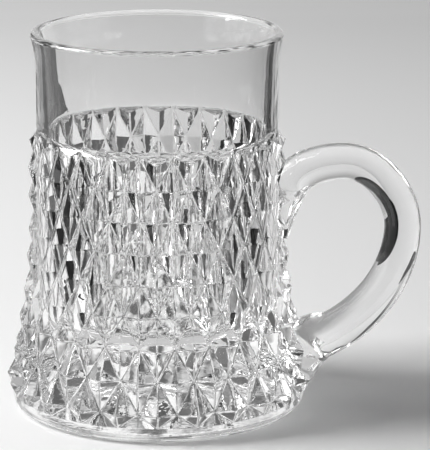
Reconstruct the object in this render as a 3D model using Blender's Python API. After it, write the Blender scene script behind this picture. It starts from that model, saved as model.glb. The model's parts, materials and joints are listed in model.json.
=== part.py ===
"""Diamond point glass mug: a pressed body with a net of pyramids, and an applied glass rod handle.

Metres, +Z up. The origin is the centre of the underside and the handle lies along +X.
"""

import math

import bmesh
import bpy
from mathutils import Vector

MM = 0.001

# Stack of heights, from the underside up to the lip
FOOT_ROUND = 4.0 * MM         # rounded lower edge of the foot
FOOT_HEIGHT = 5.6 * MM        # plain foot, up to the lowest tips of the net
TIP_DROP = 4.5 * MM           # lowest row of points above those tips
ROW_PITCH = 10.6 * MM         # one row of points to the next
LEDGE_RISE = 10.6 * MM        # ledge above the top row of points
SCALLOP_DROP = 1.7 * MM       # dip of the ledge between the top diamonds
SHOULDER_HEIGHT = 2.5 * MM    # slope from the ledge in to the plain band
BAND_HEIGHT = 19.4 * MM       # straight part of the drinking band
LIP_FLARE_HEIGHT = 14.0 * MM  # part of the band that flares out to the lip

# Radii
BAND_RADIUS = 41.2 * MM       # outside of the drinking band, level with the grooves of the net
LIP_FLARE = 1.7 * MM          # lip proud of the band
FOOT_STEP = 1.0 * MM          # foot proud of the lowest grooves
WALL = 3.2 * MM               # glass at the band and the lip
DRAFT = 2.2 * MM              # how much narrower the inside is at the floor than at the band
FLOOR_THICKNESS = 27.0 * MM   # heavy base
FLOOR_FILLET = 9.0 * MM       # round from the floor up to the inside wall

# Net of diamond points
COLUMNS = 24                  # diamonds in one row
ROWS = 8                      # full rows
POINT_HEIGHT = 3.3 * MM       # points above the groove crossings
FLARE = 8.4 * MM              # lowest row of points outside the top row
FLARE_ROWS = 5.7              # number of lower rows that the flare runs over
FLARE_POWER = 1.85            # how late the flare comes

# Handle, a rod bent in the plane of X and Z: heights are of its centre line, and each distance out is
# from the points of the net at that height to the centre line
ROD_RADIUS = 6.2 * MM         # middle of the rod
CROWN_HEIGHT = 87.0 * MM      # top of the loop
CROWN_OUT = 20.2 * MM
REACH_HEIGHT = 65.1 * MM      # where the loop reaches furthest
REACH_OUT = 39.5 * MM
NECK_HEIGHT = 26.9 * MM       # where the rod thickens towards the lower root
NECK_OUT = 11.5 * MM
NECK_RADIUS = 7.3 * MM
NECK_SLOPE = math.radians(30)
UPPER_ROOT_HEIGHT = 75.9 * MM
UPPER_ROOT_RADIUS = 6.6 * MM
UPPER_TAIL = 16.5 * MM        # drawn out glass below the upper root
LOWER_ROOT_HEIGHT = 20.3 * MM
LOWER_ROOT_RADIUS = 9.6 * MM
LOWER_TAIL = 16.2 * MM        # drawn out glass below the lower root
ROOT_LEAN = math.radians(82)  # slope of the rod where a root turns down into its tail
TAIL_RADIUS = 1.3 * MM        # tip of a tail, which sinks in between the points
CURL = 0.35                   # how round the rod bends: reach of a knot's tangent over the way to the next
JOINT_GAP = 0.3 * MM          # between the handle's roots and the points that they sit on

GLASS_COLOUR = (0.93, 0.95, 0.94, 1.0)

# Fineness
ARC_STEPS = 6
ROD_SIDES_RESOLUTION = 7
ROD_STEPS = 7
SHARP_ANGLE = math.radians(20)
MERGE = 0.00001

SEGMENTS = 2 * COLUMNS
LOWEST_ROW_Z = FOOT_HEIGHT + TIP_DROP
TOP_ROW_Z = LOWEST_ROW_Z + (ROWS - 1) * ROW_PITCH
LEDGE_Z = TOP_ROW_Z + LEDGE_RISE
BAND_Z = LEDGE_Z + SHOULDER_HEIGHT
FLARE_Z = BAND_Z + BAND_HEIGHT
TOP_Z = FLARE_Z + LIP_FLARE_HEIGHT


def clear_scene():
    for obj in list(bpy.data.objects):
        bpy.data.objects.remove(obj, do_unlink=True)


def new_collection(name):
    collection = bpy.data.collections.new(name)
    bpy.context.scene.collection.children.link(collection)
    return collection


def glass(name, colour, roughness):
    material = bpy.data.materials.new(name)
    material.use_nodes = True
    shader = material.node_tree.nodes["Principled BSDF"]
    shader.inputs["Base Color"].default_value = colour
    shader.inputs["Roughness"].default_value = roughness
    shader.inputs["Metallic"].default_value = 0.0
    shader.inputs["Transmission Weight"].default_value = 1.0
    shader.inputs["IOR"].default_value = 1.52
    return material


def flare_at(z):
    """How far the net has flared out at height z."""
    below = (LOWEST_ROW_Z + FLARE_ROWS * ROW_PITCH - z) / (FLARE_ROWS * ROW_PITCH)
    return FLARE * max(below, 0.0) ** FLARE_POWER


def point_radius(z):
    return BAND_RADIUS + POINT_HEIGHT + flare_at(z)


def net_levels():
    """Heights of the ledge, of each row of points from the top down, and of the lowest tips."""
    rows = [TOP_ROW_Z - row * ROW_PITCH for row in range(ROWS)]
    return [LEDGE_Z] + rows + [FOOT_HEIGHT]


def foot_radius():
    return BAND_RADIUS + flare_at(LOWEST_ROW_Z) + FOOT_STEP


def arc(centre, radius, start, end, steps=ARC_STEPS):
    """Points on an arc in the profile plane, angles in degrees from +X towards +Z."""
    points = []
    for step in range(steps + 1):
        angle = math.radians(start + (end - start) * step / steps)
        points.append((centre[0] + radius * math.cos(angle), centre[1] + radius * math.sin(angle)))
    return points


def outer_profile():
    """Foot and net, from the middle of the underside up to the foot of the band."""
    profile = [(0.0, 0.0)]
    profile += arc((foot_radius() - FOOT_ROUND, FOOT_ROUND), FOOT_ROUND, -90, 0)
    profile.append((foot_radius(), FOOT_HEIGHT))
    profile += [(point_radius(z), z) for z in reversed(net_levels()[:-1])]
    profile.append((BAND_RADIUS, BAND_Z))
    return profile


def lip_profile():
    """Band and lip outside, over the edge, and down the inside to the middle of the floor."""
    lip_round = WALL / 2
    flare_steps = [step / ARC_STEPS for step in range(ARC_STEPS)]
    rise = LIP_FLARE_HEIGHT - lip_round
    outside = [(BAND_RADIUS + LIP_FLARE * t * t, FLARE_Z + rise * t) for t in flare_steps]
    inside = [(r - WALL, z) for r, z in reversed(outside)]
    edge = arc((BAND_RADIUS + LIP_FLARE - lip_round, TOP_Z - lip_round), lip_round, 0, 180)
    floor_wall = BAND_RADIUS - WALL - DRAFT
    fillet = arc((floor_wall - FLOOR_FILLET, FLOOR_THICKNESS + FLOOR_FILLET), FLOOR_FILLET, 0, -90)
    return outside + edge + inside + fillet + [(0.0, FLOOR_THICKNESS)]


def turn(profile):
    """Spin a profile round the Z axis into a closed bmesh."""
    bm = bmesh.new()
    verts = [bm.verts.new((r, 0.0, z)) for r, z in profile]
    edges = [bm.edges.new(pair) for pair in zip(verts, verts[1:])]
    bmesh.ops.spin(
        bm, geom=verts + edges, cent=(0, 0, 0), axis=(0, 0, 1), dvec=(0, 0, 0),
        angle=math.tau, steps=SEGMENTS, use_merge=True,
    )
    bmesh.ops.remove_doubles(bm, verts=bm.verts, dist=MERGE)
    return bm


def press_net(bm):
    """Press the grooves into the turned blank: every other crossing of rows and columns goes in, and an edge
    joins those crossings, which leaves a four-sided point between them. The ledge dips over the grooves of the
    top row."""
    groove_verts = []
    levels = net_levels()
    for vert in bm.verts:
        radius = vert.co.xy.length
        row = min(range(len(levels)), key=lambda i: abs(levels[i] - vert.co.z))
        if radius < BAND_RADIUS - MERGE or abs(levels[row] - vert.co.z) > MERGE:
            continue
        column = round(math.atan2(vert.co.y, vert.co.x) * SEGMENTS / math.tau)
        if (row + column) % 2:
            if row == 0:
                vert.co.z -= SCALLOP_DROP
            continue
        groove_verts.append(vert)
        if row <= ROWS:
            depth = (radius - POINT_HEIGHT) / radius
            vert.co.x *= depth
            vert.co.y *= depth
    bmesh.ops.connect_verts(bm, verts=groove_verts)
    bmesh.ops.recalc_face_normals(bm, faces=bm.faces)


def finish_mesh(bm, name):
    mesh = bpy.data.meshes.new(name)
    bm.to_mesh(mesh)
    bm.free()
    mesh.shade_smooth()
    mesh.set_sharp_from_angle(angle=SHARP_ANGLE)
    return mesh


def make_body(collection):
    bm = turn(outer_profile() + lip_profile())
    press_net(bm)
    body = bpy.data.objects.new("body", finish_mesh(bm, "body"))
    collection.objects.link(body)
    return body


def make_root_cutter(collection):
    """The net as a full solid, grown by the joint's gap: what the handle's roots are pressed against."""
    profile = outer_profile()
    bm = turn(profile + [(0.0, profile[-1][1])])
    press_net(bm)
    for vert in bm.verts:
        radius = vert.co.xy.length
        if radius > MERGE:
            grow = (radius + JOINT_GAP) / radius
            vert.co.x *= grow
            vert.co.y *= grow
    cutter = bpy.data.objects.new("root_cutter", finish_mesh(bm, "root_cutter"))
    cutter.hide_render = True
    cutter.display_type = "WIRE"
    collection.objects.link(cutter)
    return cutter


def on_points(z, out):
    """A place in the handle's plane, that far out from the points at that height."""
    return Vector((point_radius(z) + out, 0.0, z))


def slope(angle):
    return Vector((math.cos(angle), 0.0, math.sin(angle)))


def rod_knots():
    """Centre, direction and radius at each knot of the rod, from the upper tail round to the lower one."""
    up = slope(math.radians(90))
    lower_tip = Vector((foot_radius() - TAIL_RADIUS, 0.0, LOWER_ROOT_HEIGHT - LOWER_TAIL))
    return [
        (on_points(UPPER_ROOT_HEIGHT - UPPER_TAIL, -TAIL_RADIUS), up, TAIL_RADIUS),
        (on_points(UPPER_ROOT_HEIGHT, 0.0), slope(ROOT_LEAN), UPPER_ROOT_RADIUS),
        (on_points(CROWN_HEIGHT, CROWN_OUT), slope(0.0), ROD_RADIUS),
        (on_points(REACH_HEIGHT, REACH_OUT), -up, ROD_RADIUS),
        (on_points(NECK_HEIGHT, NECK_OUT), -slope(NECK_SLOPE), NECK_RADIUS),
        (on_points(LOWER_ROOT_HEIGHT, 0.0), -slope(ROOT_LEAN), LOWER_ROOT_RADIUS),
        (lower_tip, -up, TAIL_RADIUS),
    ]


def make_rod():
    """The bent rod as a round bevelled curve, before its roots are pressed on."""
    curve = bpy.data.curves.new("rod", "CURVE")
    curve.dimensions = "3D"
    curve.bevel_depth = ROD_RADIUS
    curve.bevel_resolution = ROD_SIDES_RESOLUTION
    curve.use_fill_caps = True
    curve.resolution_u = ROD_STEPS
    spline = curve.splines.new("BEZIER")
    knots = rod_knots()
    spline.bezier_points.add(len(knots) - 1)
    for i, (centre, direction, radius) in enumerate(knots):
        before = (centre - knots[max(i - 1, 0)][0]).length
        after = (knots[min(i + 1, len(knots) - 1)][0] - centre).length
        point = spline.bezier_points[i]
        point.handle_left_type = "FREE"
        point.handle_right_type = "FREE"
        point.co = centre
        point.handle_left = centre - direction * before * CURL
        point.handle_right = centre + direction * after * CURL
        point.radius = radius / ROD_RADIUS
    return bpy.data.objects.new("rod", curve)


def make_handle(collection, cutter):
    rod = make_rod()
    collection.objects.link(rod)
    depsgraph = bpy.context.evaluated_depsgraph_get()
    mesh = bpy.data.meshes.new_from_object(rod.evaluated_get(depsgraph))
    bm = bmesh.new()
    bm.from_mesh(mesh)
    bpy.data.meshes.remove(mesh)
    bmesh.ops.remove_doubles(bm, verts=bm.verts, dist=MERGE)
    bmesh.ops.recalc_face_normals(bm, faces=bm.faces)
    handle = bpy.data.objects.new("handle", finish_mesh(bm, "handle"))
    handle.matrix_world = rod.matrix_world
    collection.objects.link(handle)
    bpy.data.objects.remove(rod, do_unlink=True)
    press = handle.modifiers.new("press_on_points", "BOOLEAN")
    press.operation = "DIFFERENCE"
    press.solver = "EXACT"
    press.object = cutter
    return handle


def main():
    clear_scene()
    parts = new_collection("Diamond_Point_Mug")
    cutters = new_collection("Cutters")
    body = make_body(parts)
    cutter = make_root_cutter(cutters)
    handle = make_handle(parts, cutter)
    body.data.materials.append(glass("pressed_glass", GLASS_COLOUR, 0.03))
    handle.data.materials.append(glass("drawn_glass", GLASS_COLOUR, 0.02))
    bpy.context.view_layer.update()


main()
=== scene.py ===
import json
import math

import bmesh
import bpy
from mathutils import Matrix, Vector
from mathutils.geometry import interpolate_bezier

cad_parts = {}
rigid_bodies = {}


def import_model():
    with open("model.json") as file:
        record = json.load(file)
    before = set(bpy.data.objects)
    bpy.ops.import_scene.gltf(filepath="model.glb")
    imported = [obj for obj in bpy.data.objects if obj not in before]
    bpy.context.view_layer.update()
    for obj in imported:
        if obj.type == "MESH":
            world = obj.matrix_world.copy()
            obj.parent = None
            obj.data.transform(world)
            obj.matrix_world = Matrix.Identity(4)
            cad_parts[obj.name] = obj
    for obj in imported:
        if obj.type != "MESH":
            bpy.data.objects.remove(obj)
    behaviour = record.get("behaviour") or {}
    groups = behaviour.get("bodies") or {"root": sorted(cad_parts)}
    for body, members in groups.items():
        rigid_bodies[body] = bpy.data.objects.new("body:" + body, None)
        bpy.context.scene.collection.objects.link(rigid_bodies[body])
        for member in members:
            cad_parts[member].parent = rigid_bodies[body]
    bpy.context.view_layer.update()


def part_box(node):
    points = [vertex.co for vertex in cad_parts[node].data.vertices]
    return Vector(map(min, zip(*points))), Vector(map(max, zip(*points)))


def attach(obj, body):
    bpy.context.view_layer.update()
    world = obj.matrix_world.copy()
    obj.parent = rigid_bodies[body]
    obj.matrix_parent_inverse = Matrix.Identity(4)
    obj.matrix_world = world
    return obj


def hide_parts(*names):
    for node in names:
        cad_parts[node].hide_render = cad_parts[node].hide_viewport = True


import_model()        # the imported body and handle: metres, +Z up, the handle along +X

mm = 0.001
weld = 0.004 * mm
scene = bpy.context.scene
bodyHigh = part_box("body")[1]
print("frame loaded, mug height", round(bodyHigh.z / mm, 1), "mm")


# small helpers for the meshes

def newPiece(bm, name, sharpAngle=30):    # a mesh object at the origin, smooth but for its real edges
    mesh = bpy.data.meshes.new(name)
    bm.to_mesh(mesh)
    bm.free()
    mesh.shade_smooth()
    mesh.set_sharp_from_angle(angle=math.radians(sharpAngle))
    piece = bpy.data.objects.new(name, mesh)
    scene.collection.objects.link(piece)
    return piece


def arc(centre, radius, start, end, steps):    # points on an arc of a profile, in degrees
    points = []
    for step in range(steps + 1):
        angle = math.radians(start + (end - start) * step / steps)
        points.append((centre[0] + radius * math.cos(angle), centre[1] + radius * math.sin(angle)))
    return points


def turn(bm, profile, steps):    # spins a profile of (radius, height) in mm round the mug's axis
    verts = [bm.verts.new((r * mm, 0, z * mm)) for r, z in profile]
    edges = [bm.edges.new(pair) for pair in zip(verts, verts[1:])]
    bmesh.ops.spin(bm, geom=verts + edges, cent=(0, 0, 0), axis=(0, 0, 1), dvec=(0, 0, 0),
                   angle=math.tau, steps=steps, use_merge=True)


def closeUp(bm):    # merges seams and poles, then points the faces out
    bmesh.ops.remove_doubles(bm, verts=bm.verts, dist=weld)
    bmesh.ops.recalc_face_normals(bm, faces=bm.faces)


def disc(name, radius, height, sides):    # a flat round piece, in metres
    bm = bmesh.new()
    level = Matrix.Translation((0, 0, height))
    bmesh.ops.create_circle(bm, cap_ends=True, segments=sides, radius=radius, matrix=level)
    return newPiece(bm, name)


# pressed body: foot, net of diamond points, ledge, plain band, lip and inside, all in mm

pressing = {
    "footRound": 4.0, "footHeight": 5.6, "footStep": 1.0, "footLine": 0.15,
    "tipDrop": 4.5,    # from the lowest points down to the foot
    "rowPitch": 10.6, "rows": 8, "columns": 24, "pointHeight": 3.3,
    "flare": 8.4, "flareRows": 5.7, "flarePower": 1.85,
    "ledgeRise": 10.6, "shoulder": 2.5,
    "shoulderOut": 2.5, "shoulderDrop": 4.2, "shoulderReach": 1.5,    # the hollow that cuts the top points
    "bandRadius": 41.2, "lipFlare": 1.7, "lipFlareHeight": 14.0, "wall": 3.2, "draft": 2.2,
    "floorThickness": 27.0, "floorFillet": 9.0,
    "edgeRound": 0.4, "edgeSteps": 3, "edgeMargin": 0.1, "foldAngle": 4,    # fire polish on ridges, grooves
    "fineness": 4,    # turned faces to each half diamond
    "arcSteps": 24, "lipSteps": 32, "sharpAngle": 9,
    "levelSlack": 0.01,    # how near to its row a crossing is
    "blankDrop": 2.0, "blankOut": 1.0, "blankRise": 5.0,    # how far the net goes on past both ends
    "roomOut": 10.0, "footClear": 0.05,    # room for the points in the turned outline
}
lowestRow = pressing["footHeight"] + pressing["tipDrop"]
topRow = lowestRow + (pressing["rows"] - 1) * pressing["rowPitch"]
ledge = topRow + pressing["ledgeRise"]
bandFoot = ledge + pressing["shoulder"]
lipTop = bodyHigh.z / mm
halfColumns = 2 * pressing["columns"]


def flareAt(z):    # how far the net stands out at a height
    reach = pressing["flareRows"] * pressing["rowPitch"]
    return pressing["flare"] * max((lowestRow + reach - z) / reach, 0) ** pressing["flarePower"]


def pointRadius(z):
    return pressing["bandRadius"] + pressing["pointHeight"] + flareAt(z)


footRadius = pressing["bandRadius"] + flareAt(lowestRow) + pressing["footStep"]
netLevels = [ledge + (1 - row) * pressing["rowPitch"] for row in range(2)]    # one row is above the ledge
netLevels += [topRow - row * pressing["rowPitch"] for row in range(pressing["rows"])]
netLevels.append(pressing["footHeight"])


def pressNet(bm, grow=0.0):    # every other crossing goes in, and grooves join those crossings
    grooves = []
    for vert in bm.verts:
        radius = vert.co.xy.length / mm
        depth = 0.0
        row = min(range(len(netLevels)), key=lambda i: abs(netLevels[i] - vert.co.z / mm))
        column = round(math.atan2(vert.co.y, vert.co.x) * halfColumns / math.tau)
        onRow = abs(netLevels[row] - vert.co.z / mm) < pressing["levelSlack"]
        if onRow and (row + column) % 2 == 1:
            grooves.append(vert)
            if 0 < row < len(netLevels) - 1:
                depth = pressing["pointHeight"]
        vert.co.xy *= (radius - depth + grow) / radius
    bmesh.ops.connect_verts(bm, verts=grooves)


def netBlank(bm):    # the outline of the points, with one face to each half diamond
    foot = footRadius + pressing["footLine"]
    blank = [(foot, -pressing["blankDrop"]), (foot, pressing["footHeight"])]
    blank += [(pointRadius(z), z) for z in reversed(netLevels[:-1])]
    blank.append((pointRadius(lipTop) + pressing["blankOut"], lipTop + pressing["blankRise"]))
    turn(bm, blank, halfColumns)
    bmesh.ops.remove_doubles(bm, verts=bm.verts, dist=weld)


def closeEnds(bm):
    bmesh.ops.holes_fill(bm, edges=[e for e in bm.edges if e.is_boundary], sides=0)
    closeUp(bm)


def roundEdges(bm):    # a fine round on every ridge and groove
    low = (pressing["footHeight"] - pressing["edgeMargin"]) * mm
    high = (netLevels[0] - pressing["edgeMargin"]) * mm
    fold = math.radians(pressing["foldAngle"])
    folds = [e for e in bm.edges
             if e.calc_face_angle(0) > fold and low < min(v.co.z for v in e.verts) < high]
    bmesh.ops.bevel(bm, geom=folds, offset=pressing["edgeRound"] * mm, offset_type="OFFSET", affect="EDGES",
                    segments=pressing["edgeSteps"], profile=0.5, material=-1, clamp_overlap=True)


def turnedProfile():    # foot, room for the points, hollow shoulder, band, lip, inside and floor
    p = pressing
    foot = arc((footRadius - p["footRound"], p["footRound"]), p["footRound"], -90, 0, p["arcSteps"] // 2)
    shares = [step / p["arcSteps"] for step in range(p["arcSteps"] + 1)]
    band, reach, drop = p["bandRadius"], p["shoulderReach"], p["shoulderDrop"]
    hollow = [(band + p["shoulderOut"] * (reach * t) ** 2, bandFoot - drop * reach * t) for t in shares]
    footTop = p["footHeight"] + p["footClear"]
    roomEdge = footRadius + p["roomOut"]
    pointRoom = [(footRadius, footTop), (roomEdge, footTop), (roomEdge, hollow[-1][1])]
    lipRound = p["wall"] / 2
    flareFoot = lipTop - p["lipFlareHeight"]
    rise = p["lipFlareHeight"] - lipRound
    outside = [(band + p["lipFlare"] * t * t, flareFoot + rise * t) for t in shares[:-1]]
    inside = [(r - p["wall"], z) for r, z in reversed(outside)]
    lipCentre = (band + p["lipFlare"] - lipRound, lipTop - lipRound)
    lip = arc(lipCentre, lipRound, 0, 180, p["lipSteps"])
    floorWall = band - p["wall"] - p["draft"]
    corner = (floorWall - p["floorFillet"], p["floorThickness"] + p["floorFillet"])
    fillet = arc(corner, p["floorFillet"], 0, -90, p["arcSteps"])
    floorMiddle = (0, p["floorThickness"])
    return [(0, 0)] + foot + pointRoom + hollow[::-1] + outside + lip + inside + fillet + [floorMiddle]


def cutWith(piece, cutter, operation):    # a Boolean of two closed meshes, taken over into a new bmesh
    press = piece.modifiers.new("cut", "BOOLEAN")
    press.operation = operation
    press.solver = "MANIFOLD"
    press.object = cutter
    bpy.context.view_layer.update()
    cutMesh = bpy.data.meshes.new_from_object(piece.evaluated_get(bpy.context.evaluated_depsgraph_get()))
    bm = bmesh.new()
    bm.from_mesh(cutMesh)
    for spent in (piece, cutter):
        bpy.data.objects.remove(spent, do_unlink=True)
    bpy.data.meshes.remove(cutMesh)
    closeUp(bm)
    return bm


def makeBody():
    net = bmesh.new()
    netBlank(net)
    pressNet(net)
    roundEdges(net)
    closeEnds(net)
    turned = bmesh.new()
    turn(turned, turnedProfile(), halfColumns * pressing["fineness"])
    closeUp(turned)
    angle = pressing["sharpAngle"]
    bm = cutWith(newPiece(turned, "turnedMug", angle), newPiece(net, "netOfPoints", angle), "INTERSECT")
    return newPiece(bm, "pressedBody", angle)


# applied handle: a rod drawn round in the plane of the mug's axis, its roots pressed on to the points, in mm

rod = {
    "radius": 6.2, "crown": (87.0, 20.2), "reach": (65.1, 39.45),    # height, out from the points
    "neck": (26.9, 11.5), "neckRadius": 7.3, "neckSlope": 30,
    "upperRoot": 75.9, "upperRootRadius": 6.6, "upperTail": 16.5,
    "lowerRoot": 20.3, "lowerRootRadius": 9.6, "lowerTail": 16.2,
    "rootLean": 82, "tailRadius": 1.3, "curl": 0.35,
    "jointGap": 0.15, "sides": 64, "steps": 32, "sharpAngle": 24,
}


def slope(degrees):
    return Vector((math.cos(math.radians(degrees)), 0, math.sin(math.radians(degrees))))


def onPoints(z, out):    # a place in the handle's plane, out from the points at that height
    return Vector((pointRadius(z) + out, 0, z))


def rodKnots():    # centre, direction and radius, from the upper tail round to the lower one
    tail = rod["tailRadius"]
    upperTip = onPoints(rod["upperRoot"] - rod["upperTail"], -tail)
    lowerTip = Vector((footRadius - tail, 0, rod["lowerRoot"] - rod["lowerTail"]))
    return [
        (upperTip, slope(90), tail),
        (onPoints(rod["upperRoot"], 0), slope(rod["rootLean"]), rod["upperRootRadius"]),
        (onPoints(*rod["crown"]), slope(0), rod["radius"]),
        (onPoints(*rod["reach"]), slope(-90), rod["radius"]),
        (onPoints(*rod["neck"]), -slope(rod["neckSlope"]), rod["neckRadius"]),
        (onPoints(rod["lowerRoot"], 0), -slope(rod["rootLean"]), rod["lowerRootRadius"]),
        (lowerTip, slope(-90), tail),
    ]


def rodPlaces():    # a matrix for each ring of the rod: where it is, how it is turned and how wide
    knots = rodKnots()
    path = []
    for (start, startWay, startRadius), (end, endWay, endRadius) in zip(knots, knots[1:]):
        lead = (end - start).length * rod["curl"]
        count = rod["steps"] + 1
        bend = interpolate_bezier(start, start + startWay * lead, end - endWay * lead, end, count)
        for step, centre in enumerate(bend[:-1]):
            share = step / rod["steps"]
            path.append((centre, startRadius + (endRadius - startRadius) * share))
    path.append((knots[-1][0], knots[-1][2]))
    places = []
    for i, (centre, radius) in enumerate(path):
        way = (path[min(i + 1, len(path) - 1)][0] - path[max(i - 1, 0)][0]).normalized()
        side = Vector((0, 1, 0))
        facing = Matrix((side, way.cross(side), way)).transposed().to_4x4()
        places.append(Matrix.Translation(centre * mm) @ facing @ Matrix.Scale(radius * mm, 4))
    return places


def makeRod(bm):    # a ring drawn along the bend
    places = rodPlaces()
    bmesh.ops.create_circle(bm, segments=rod["sides"], radius=1, matrix=places[0])
    ring = list(bm.edges)
    ends = [ring]
    for before, after in zip(places, places[1:]):
        grown = bmesh.ops.extrude_edge_only(bm, edges=ring)["geom"]
        verts = [g for g in grown if isinstance(g, bmesh.types.BMVert)]
        ring = [g for g in grown if isinstance(g, bmesh.types.BMEdge)]
        bmesh.ops.transform(bm, matrix=after @ before.inverted(), verts=verts)
    ends.append(ring)
    for end in ends:
        bmesh.ops.edgeloop_fill(bm, edges=end)
    closeUp(bm)


def makeRootCutter():    # the net as a full solid, grown by the joint's gap
    bm = bmesh.new()
    netBlank(bm)
    pressNet(bm, rod["jointGap"])
    closeEnds(bm)
    return newPiece(bm, "rootCutter", rod["sharpAngle"])


def makeHandle():
    bm = bmesh.new()
    makeRod(bm)
    pressed = cutWith(newPiece(bm, "rodBlank", rod["sharpAngle"]), makeRootCutter(), "DIFFERENCE")
    return newPiece(pressed, "drawnHandle", rod["sharpAngle"])


# glass, with the ripple's depth and heights in mm

glass = {"index": 1.52, "tint": 0.985}
waves = {
    "detail": 1.0,
    "calmShare": 0.15, "calmOver": 4.0,    # what is left of the ripple on the plain band, and mm to get there
}
patchEdges = (0.42, 0.58)    # where the noise goes over from dim to bright
# painted glow: the patches, dim and bright of each finish set the patchy light that the glass gives off of
# its own
pressedFinishAndGlow = {
    "ripple": 110.0, "chill": 420.0, "chillShare": 0.35, "depth": 0.07, "calmAbove": 97.0,
    "patches": 160.0, "dim": 0.0, "bright": 0.8,    # the room as light thrown about inside shows it
}
drawnFinishAndGlow = {
    "ripple": 60.0, "chill": 200.0, "chillShare": 0.15, "depth": 0.02, "calmAbove": 200.0,
    "patches": 60.0, "dim": 0.3, "bright": 0.6,
}

# how far light has come, by a depth of the Light Path node and what it has to be over

thrownBack = ("Glossy Depth", 0.5)
thrownLong = ("Glossy Depth", 4.5)    # about the longest way that is followed inside the glass
gotThrough = ("Transmission Depth", 3.0)
metMuch = ("Ray Depth", 3.5)


def rippleGroup():    # long ripples with finer chill marks on them, as a height
    group = bpy.data.node_groups.new("glassRipple", "ShaderNodeTree")
    for name in ("Ripple", "Chill", "Chill Share", "Calm Above"):
        group.interface.new_socket(name, in_out="INPUT", socket_type="NodeSocketFloat")
    group.interface.new_socket("Height", in_out="OUTPUT", socket_type="NodeSocketFloat")
    nodes, links = group.nodes, group.links
    given = nodes.new("NodeGroupInput")
    out = nodes.new("NodeGroupOutput")
    where = nodes.new("ShaderNodeTexCoord")
    mix = nodes.new("ShaderNodeMix")
    for name, slot in (("Ripple", "A"), ("Chill", "B")):
        noise = nodes.new("ShaderNodeTexNoise")
        noise.inputs["Detail"].default_value = waves["detail"]
        links.new(where.outputs["Object"], noise.inputs["Vector"])
        links.new(given.outputs[name], noise.inputs["Scale"])
        links.new(noise.outputs["Fac"], mix.inputs[slot])
    links.new(given.outputs["Chill Share"], mix.inputs["Factor"])
    split = nodes.new("ShaderNodeSeparateXYZ")
    calm = nodes.new("ShaderNodeMapRange")    # the plain band above the net is fire polished smooth
    calm.inputs["To Min"].default_value = 1.0
    calm.inputs["To Max"].default_value = waves["calmShare"]
    fade = nodes.new("ShaderNodeMath")
    fade.operation = "ADD"
    fade.inputs[1].default_value = waves["calmOver"] * mm
    height = nodes.new("ShaderNodeMath")
    height.operation = "MULTIPLY"
    links.new(where.outputs["Object"], split.inputs["Vector"])
    links.new(split.outputs["Z"], calm.inputs["Value"])
    links.new(given.outputs["Calm Above"], calm.inputs["From Min"])
    links.new(given.outputs["Calm Above"], fade.inputs[0])
    links.new(fade.outputs["Value"], calm.inputs["From Max"])
    links.new(mix.outputs["Result"], height.inputs[0])
    links.new(calm.outputs["Result"], height.inputs[1])
    links.new(height.outputs["Value"], out.inputs["Height"])
    return group


def patchGroup():    # light and dark patches, as a tone
    group = bpy.data.node_groups.new("lightPatches", "ShaderNodeTree")
    for name in ("Patches", "Dim", "Bright"):
        group.interface.new_socket(name, in_out="INPUT", socket_type="NodeSocketFloat")
    group.interface.new_socket("Tone", in_out="OUTPUT", socket_type="NodeSocketFloat")
    nodes, links = group.nodes, group.links
    given = nodes.new("NodeGroupInput")
    out = nodes.new("NodeGroupOutput")
    where = nodes.new("ShaderNodeTexCoord")
    noise = nodes.new("ShaderNodeTexNoise")
    spread = nodes.new("ShaderNodeMapRange")
    spread.inputs["From Min"].default_value, spread.inputs["From Max"].default_value = patchEdges
    links.new(where.outputs["Object"], noise.inputs["Vector"])
    links.new(given.outputs["Patches"], noise.inputs["Scale"])
    links.new(noise.outputs["Fac"], spread.inputs["Value"])
    links.new(given.outputs["Dim"], spread.inputs["To Min"])
    links.new(given.outputs["Bright"], spread.inputs["To Max"])
    links.new(spread.outputs["Result"], out.inputs["Tone"])
    return group


def placePatches(nodes, patches, values):
    placed = nodes.new("ShaderNodeGroup")
    placed.node_tree = patches
    for name in ("patches", "dim", "bright"):
        placed.inputs[name.capitalize()].default_value = values[name]
    return placed.outputs["Tone"]


def rayTest(tree, depth, least):    # 1 where the light has come that far
    ray = tree.nodes.new("ShaderNodeLightPath")
    test = tree.nodes.new("ShaderNodeMath")
    test.operation = "GREATER_THAN"
    test.inputs[1].default_value = least
    tree.links.new(ray.outputs[depth], test.inputs[0])
    return test.outputs["Value"]


def makeGlass(name, finishAndGlow, ripple, patches):
    material = bpy.data.materials.new(name)
    material.use_nodes = True
    nodes, links = material.node_tree.nodes, material.node_tree.links
    shader = nodes["Principled BSDF"]
    shader.inputs["Base Color"].default_value = (glass["tint"], glass["tint"], glass["tint"], 1)
    shader.inputs["Metallic"].default_value = 0.0
    shader.inputs["Roughness"].default_value = 0.0
    shader.inputs["IOR"].default_value = glass["index"]
    shader.inputs["Transmission Weight"].default_value = 1.0
    shader.inputs["Emission Strength"].default_value = 1.0
    surface = nodes.new("ShaderNodeGroup")
    surface.node_tree = ripple
    surface.inputs["Ripple"].default_value = finishAndGlow["ripple"]
    surface.inputs["Chill"].default_value = finishAndGlow["chill"]
    surface.inputs["Chill Share"].default_value = finishAndGlow["chillShare"]
    surface.inputs["Calm Above"].default_value = finishAndGlow["calmAbove"] * mm
    bump = nodes.new("ShaderNodeBump")
    bump.inputs["Distance"].default_value = finishAndGlow["depth"] * mm
    links.new(surface.outputs["Height"], bump.inputs["Height"])
    links.new(bump.outputs["Normal"], shader.inputs["Normal"])
    # painted glow: the glass gives off patchy light of its own where the light inside it is followed no
    # further
    glow = nodes.new("ShaderNodeMath")    # stands in for the light that is followed no further
    glow.operation = "MULTIPLY"
    links.new(rayTest(material.node_tree, *thrownLong), glow.inputs[0])
    links.new(placePatches(nodes, patches, finishAndGlow), glow.inputs[1])
    links.new(glow.outputs["Value"], shader.inputs["Emission Color"])
    material.cycles.emission_sampling = "NONE"    # it lights nothing else
    return material


# the photograph's camera, a little towards the handle: places are in metres from here on

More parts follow.
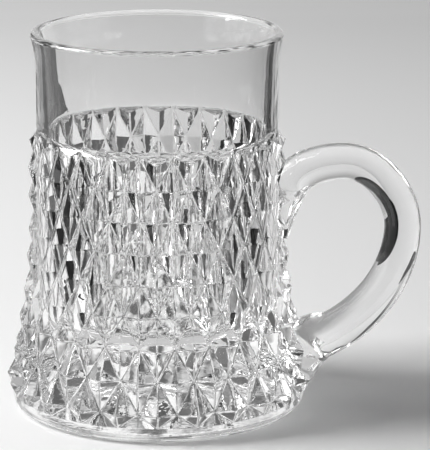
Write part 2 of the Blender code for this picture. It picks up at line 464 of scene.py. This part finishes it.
photo = {
    "size": (430, 450), "distance": 0.9, "height": 0.2874, "roundToHandle": 8.1,
    "lookDown": 14.02, "lookRight": 1.25, "focalPixels": 2695.0, "sensor": 36.0,
}


def fromView(right, away, up):    # a place given as the photograph sees it, in the mug's frame
    return Matrix.Rotation(math.radians(photo["roundToHandle"]), 3, "Z") @ Vector((right, away, up))


def makeCamera():
    camera = bpy.data.objects.new("camera", bpy.data.cameras.new("camera"))
    scene.collection.objects.link(camera)
    camera.data.sensor_width = photo["sensor"]
    camera.data.lens = photo["sensor"] * photo["focalPixels"] / max(photo["size"])
    down, right = math.radians(photo["lookDown"]), math.radians(photo["lookRight"])
    look = fromView(math.sin(right) * math.cos(down), math.cos(right) * math.cos(down), -math.sin(down))
    camera.location = fromView(0, -photo["distance"], photo["height"])
    camera.rotation_euler = look.to_track_quat("-Z", "Y").to_euler()
    scene.camera = camera


# floor: pale paper that goes over into a plain background

stage = {
    "floorRadius": 4.0, "floorDrop": 0.0002, "floorSides": 96,
    "floorColour": 0.86, "floorRoughness": 0.6, "floorSpecular": 0.2,
    "horizon": 0.62, "sweep": (0.95, 1.9),    # the plain background, and where the floor goes over into it
}


def makeFloor():
    floor = disc("floor", stage["floorRadius"], -stage["floorDrop"], stage["floorSides"])
    paper = bpy.data.materials.new("paleFloor")
    paper.use_nodes = True
    nodes, links = paper.node_tree.nodes, paper.node_tree.links
    shader = nodes["Principled BSDF"]
    shader.inputs["Roughness"].default_value = stage["floorRoughness"]
    shader.inputs["Specular IOR Level"].default_value = stage["floorSpecular"]
    shader.inputs["Emission Strength"].default_value = stage["horizon"]
    where = nodes.new("ShaderNodeTexCoord")
    away = nodes.new("ShaderNodeVectorMath")
    away.operation = "LENGTH"
    far = nodes.new("ShaderNodeMapRange")
    far.inputs["From Min"].default_value, far.inputs["From Max"].default_value = stage["sweep"]
    near = nodes.new("ShaderNodeMapRange")
    near.inputs["To Min"].default_value = stage["floorColour"]
    near.inputs["To Max"].default_value = 0.0
    links.new(where.outputs["Object"], away.inputs[0])
    links.new(away.outputs["Value"], far.inputs["Value"])
    links.new(far.outputs["Result"], near.inputs["Value"])
    links.new(near.outputs["Result"], shader.inputs["Base Color"])
    links.new(far.outputs["Result"], shader.inputs["Emission Color"])
    floor.data.materials.append(paper)


# cloths and cards that only the glass sees, by (right, away, up) in the photograph's view

# painted light and shade: each cloth and card glows with a set tone or with patches; several show only to
# light that has been thrown back, one only to light that went through much glass
leftEdge = ((-0.092, 0.405), (-0.125, 0.5), (-0.15, 0.575), (-0.27, 0.78))


def lying(lift, *places):    # corners of a cloth, lifted a little off the floor
    return [(right, away, lift) for right, away in places]


flags = {
    "leftCloth": {
        "tone": 0.115,
        "corners": lying(0.0005, *leftEdge, (-0.6, 0.78), (-0.6, 0.28), (-0.13, 0.28)),
    },
    "leftSheen": {
        "tone": 0.36, "metBy": thrownBack,
        "corners": lying(0.0008, *leftEdge, (-0.55, 0.78), (-0.24, 0.3), (-0.12, 0.3)),
    },
    "leftFar": {
        "tone": 0.12, "metBy": thrownBack,
        "corners": lying(0.0004, (-0.118, -0.25), (-0.118, 0.1), (-0.14, 0.25), (-1.0, 1.6),
                         (-3.0, 1.6), (-3.0, -0.25)),
    },
    "leftWall": {
        "tone": 0.005,
        "corners": ((-0.5, 0.05, 0.02), (-0.5, 0.48, 0.02), (-0.5, 0.48, 0.075), (-0.5, 0.05, 0.075)),
    },
    "leftTable": {
        "tone": 0.015,
        "corners": lying(0.0005, (-0.118, -0.25), (-0.118, 0.12), (-0.6, 0.12), (-0.6, -0.25)),
    },
    "paperBehind": {
        "patches": 90.0, "dim": 0.15, "bright": 1.0, "metBy": gotThrough,
        "corners": lying(0.0005, (-0.117, 0.055), (0.13, 0.055), (0.13, 0.2), (-0.13, 0.2)),
    },
    "rearShade": {
        "patches": 140.0, "dim": 0.14, "bright": 1.0,
        "corners": ((-0.05, 0.056, 0), (0.045, 0.056, 0), (0.045, 0.056, 0.016), (-0.05, 0.056, 0.016)),
    },
    "keyCard": {    # the one that shines, high up on the left
        "tone": 12.0,
        "corners": ((-0.436, -0.32, 0.888), (-0.522, -0.096, 0.888),
                    (-0.634, -0.14, 0.782), (-0.548, -0.364, 0.782)),
    },
    "sweep": {
        "tone": 0.72,
        "corners": lying(0.0003, (-1.5, 0.8), (1.0, 0.8), (3.0, 3.9), (-3.0, 3.9)),
    },
    "frontWall": {
        "tone": 0.03, "metBy": thrownBack,
        "corners": ((-1.5, -1.3, 0), (1.5, -1.3, 0), (1.5, -1.3, 1.0), (-1.5, -1.3, 1.0)),
    },
    "frontCloth": {
        "tone": 0.05, "metBy": thrownBack,
        "corners": lying(0.0006, (-3.0, -0.14), (3.0, -0.14), (3.0, -3.0), (-3.0, -3.0)),
    },
    "leftStand": {
        "tone": 0.1,
        "corners": ((-0.19, 0.41, 0), (-0.14, 0.41, 0), (-0.14, 0.42, 0.13), (-0.21, 0.39, 0.3),
                    (-0.25, 0.38, 0.3), (-0.185, 0.42, 0.13)),
    },
    "rightCloth": {
        "tone": 0.005,
        "corners": lying(0.0005, (0.133, 0.045), (0.133, 0.19), (0.16, 0.3), (0.185, 0.4),
                         (0.24, 0.54), (0.8, 0.6), (1.2, 0.045)),
    },
    "rightTable": {
        "tone": 0.015,
        "corners": lying(0.0005, (0.14, -0.25), (0.6, -0.25), (0.6, 0.045), (0.14, 0.045)),
    },
    "rightCard": {
        "tone": 0.03,
        "corners": ((0.135, 0.05, 0), (0.135, 0.15, 0), (0.135, 0.15, 0.22), (0.135, 0.05, 0.2)),
    },
    "rightSheen": {
        "tone": 0.45, "metBy": thrownBack,
        "corners": ((0.134, 0.15, 0), (0.264, 0.6, 0), (0.264, 0.6, 0.3), (0.134, 0.15, 0.22)),
    },
    "rightScreen": {
        "tone": 0.008,
        "corners": ((0.135, 0.15, 0), (0.265, 0.6, 0), (0.265, 0.6, 0.3), (0.135, 0.15, 0.22)),
    },
}


def showToGlass(piece):    # neither the camera nor the floor sees it
    piece.visible_camera = False
    piece.visible_diffuse = False
    piece.visible_shadow = False


def makeFlags(patches):
    for name, values in flags.items():
        bm = bmesh.new()
        verts = [bm.verts.new(fromView(*corner)) for corner in values["corners"]]
        bmesh.ops.contextual_create(bm, geom=verts)
        flag = newPiece(bm, name)
        cloth = bpy.data.materials.new(name)
        cloth.use_nodes = True
        nodes, links = cloth.node_tree.nodes, cloth.node_tree.links
        glow = nodes.new("ShaderNodeEmission")
        # painted light and shade in patches, where the mug's own light falls
        if "patches" in values:    # the mug's own light falls on it
            links.new(placePatches(nodes, patches, values), glow.inputs["Color"])
        else:
            glow.inputs["Color"].default_value = (values["tone"], values["tone"], values["tone"], 1)
        shown = glow.outputs["Emission"]
        if "metBy" in values:    # any other light goes past it
            mix = nodes.new("ShaderNodeMixShader")
            links.new(rayTest(cloth.node_tree, *values["metBy"]), mix.inputs["Fac"])
            links.new(nodes.new("ShaderNodeBsdfTransparent").outputs["BSDF"], mix.inputs[1])
            links.new(shown, mix.inputs[2])
            shown = mix.outputs["Shader"]
        links.new(shown, nodes["Material Output"].inputs["Surface"])
        flag.data.materials.append(cloth)
        showToGlass(flag)


# the pool of light that the mug throws under itself, patchy when seen through much glass

litPaper = {"radius": 0.047, "sides": 64, "plain": 0.6, "patches": 130.0, "dim": 0.0, "bright": 0.9}


def makeLitPaper(patches):
    pool = disc("litPaper", litPaper["radius"], -stage["floorDrop"] / 2, litPaper["sides"])
    light = bpy.data.materials.new("litPaper")
    light.use_nodes = True
    nodes, links = light.node_tree.nodes, light.node_tree.links
    glow = nodes.new("ShaderNodeEmission")
    mix = nodes.new("ShaderNodeMix")
    mix.inputs["A"].default_value = litPaper["plain"]
    links.new(rayTest(light.node_tree, *gotThrough), mix.inputs["Factor"])
    links.new(placePatches(nodes, patches, litPaper), mix.inputs["B"])
    links.new(mix.outputs["Result"], glow.inputs["Color"])
    links.new(glow.outputs["Emission"], nodes["Material Output"].inputs["Surface"])
    pool.data.materials.append(light)
    showToGlass(pool)


# window light and the room

window = {"place": (-1.1, 0.0, 0.75), "aim": (0, 0, 0.05), "size": (0.7, 0.7), "watts": 26.4}
room = {    # the sky's tones go by the sine of the angle up
    "sky": ((0.0, 0.62), (0.2, 0.54), (0.42, 0.4), (0.55, 0.34), (0.8, 0.9), (1.0, 1.0)),
    "leftGain": 0.45, "backGain": 0.2,    # brighter to the left and behind the mug
    "ambient": 0.16,    # what the floor gets of it
    "patches": 7.0, "dim": 0.3, "bright": 1.85,
}


def makeWindow():
    light = bpy.data.lights.new("window", "AREA")
    light.shape = "RECTANGLE"
    light.size, light.size_y = window["size"]
    light.energy = window["watts"]
    holder = bpy.data.objects.new("window", light)
    scene.collection.objects.link(holder)
    holder.location = fromView(*window["place"])
    beam = fromView(*window["aim"]) - holder.location
    holder.rotation_euler = beam.to_track_quat("-Z", "Y").to_euler()


def makeWorld(patches):    # the room for the glass, a plain share for the floor, the horizon for the camera
    world = bpy.data.worlds.new("studio")
    world.use_nodes = True
    nodes, links = world.node_tree.nodes, world.node_tree.links
    where = nodes.new("ShaderNodeTexCoord")
    split = nodes.new("ShaderNodeSeparateXYZ")
    sky = nodes.new("ShaderNodeFloatCurve")
    curve = sky.mapping.curves[0]
    atFirst = len(curve.points)
    for i, (rise, tone) in enumerate(room["sky"]):
        if i < atFirst:
            curve.points[i].location = (rise, tone)
        else:
            curve.points.new(rise, tone)
    sky.mapping.update()
    side = nodes.new("ShaderNodeVectorMath")
    side.operation = "DOT_PRODUCT"
    side.inputs[1].default_value = fromView(-room["leftGain"], room["backGain"], 0)
    gain = nodes.new("ShaderNodeMath")
    gain.operation = "MULTIPLY_ADD"
    links.new(where.outputs["Generated"], split.inputs["Vector"])
    links.new(where.outputs["Generated"], side.inputs[0])
    links.new(split.outputs["Z"], sky.inputs["Value"])
    links.new(sky.outputs["Value"], gain.inputs[0])
    links.new(side.outputs["Value"], gain.inputs[1])
    links.new(sky.outputs["Value"], gain.inputs[2])
    share = nodes.new("ShaderNodeMix")    # even for light that has met little glass, patchy for the rest
    share.inputs["A"].default_value = 1.0
    links.new(rayTest(world.node_tree, *metMuch), share.inputs["Factor"])
    links.new(placePatches(nodes, patches, room), share.inputs["B"])
    toGlass = nodes.new("ShaderNodeMath")
    toGlass.operation = "MULTIPLY"
    links.new(gain.outputs["Value"], toGlass.inputs[0])
    links.new(share.outputs["Result"], toGlass.inputs[1])
    ray = nodes.new("ShaderNodeLightPath")
    toFloor = nodes.new("ShaderNodeMix")
    toFloor.inputs["B"].default_value = room["ambient"]
    links.new(toGlass.outputs["Value"], toFloor.inputs["A"])
    links.new(ray.outputs["Is Diffuse Ray"], toFloor.inputs["Factor"])
    toCamera = nodes.new("ShaderNodeMix")
    toCamera.inputs["B"].default_value = stage["horizon"]
    links.new(toFloor.outputs["Result"], toCamera.inputs["A"])
    links.new(ray.outputs["Is Camera Ray"], toCamera.inputs["Factor"])
    links.new(toCamera.outputs["Result"], nodes["Background"].inputs["Color"])
    scene.world = world


body = makeBody()
print("pressed body:", len(body.data.polygons), "faces")
handle = makeHandle()
print("drawn handle:", len(handle.data.polygons), "faces")
ripple, patches = rippleGroup(), patchGroup()
body.data.materials.append(makeGlass("pressedGlass", pressedFinishAndGlow, ripple, patches))
handle.data.materials.append(makeGlass("drawnGlass", drawnFinishAndGlow, ripple, patches))
print("glass made")
for piece, node, slot in ((body, "body", "pressed_glass"), (handle, "handle", "drawn_glass")):
    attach(piece, "root")
    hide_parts(node)
makeCamera()
makeFloor()
makeFlags(patches)
makeLitPaper(patches)
makeWindow()
makeWorld(patches)
scene.view_settings.view_transform = "Standard"
print("camera, floor and light made")
